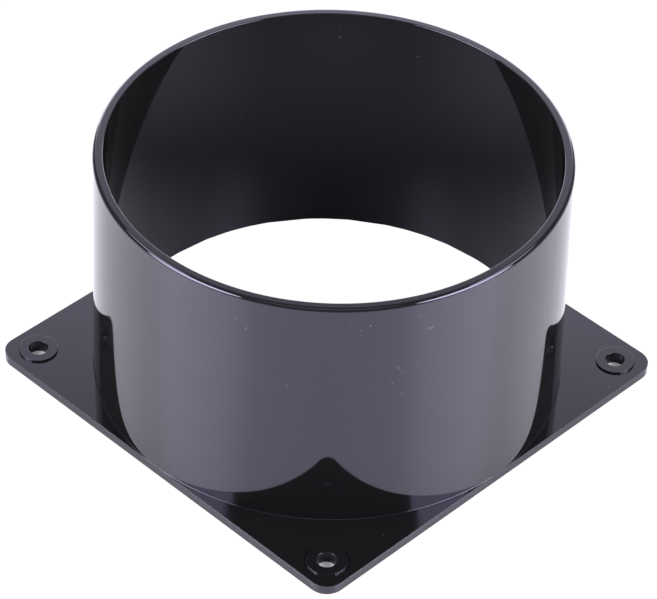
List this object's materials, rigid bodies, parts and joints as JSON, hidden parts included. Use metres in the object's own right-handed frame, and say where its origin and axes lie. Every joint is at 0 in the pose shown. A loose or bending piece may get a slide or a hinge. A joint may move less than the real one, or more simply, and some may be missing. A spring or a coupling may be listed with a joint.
{
  "type": "square-plate spigot flange",
  "caption": "Black moulded flange: a thin square screw-down plate with rounded corners, raised screw seats and a wide, tall, thin-walled round spigot open from end to end.",
  "frame": {"origin": "centre of the square plate on its underside, on the axis of the bore", "axes": "+Z along the bore from the plate to the spigot's open end; +X and +Y square to the plate's sides"},
  "size_m": [0.12, 0.12, 0.07],
  "materials": {
    "gloss_black_abs": "glossy injection-moulded black ABS with a faint violet cast, light dust and handling marks"
  },
  "bodies": {
    "root": {"mounting_plate": "gloss_black_abs", "spigot_tube": "gloss_black_abs", "screw_pad_front_left": "gloss_black_abs", "screw_pad_front_right": "gloss_black_abs", "screw_pad_back_right": "gloss_black_abs", "screw_pad_back_left": "gloss_black_abs"}
  },
  "joints": []
}
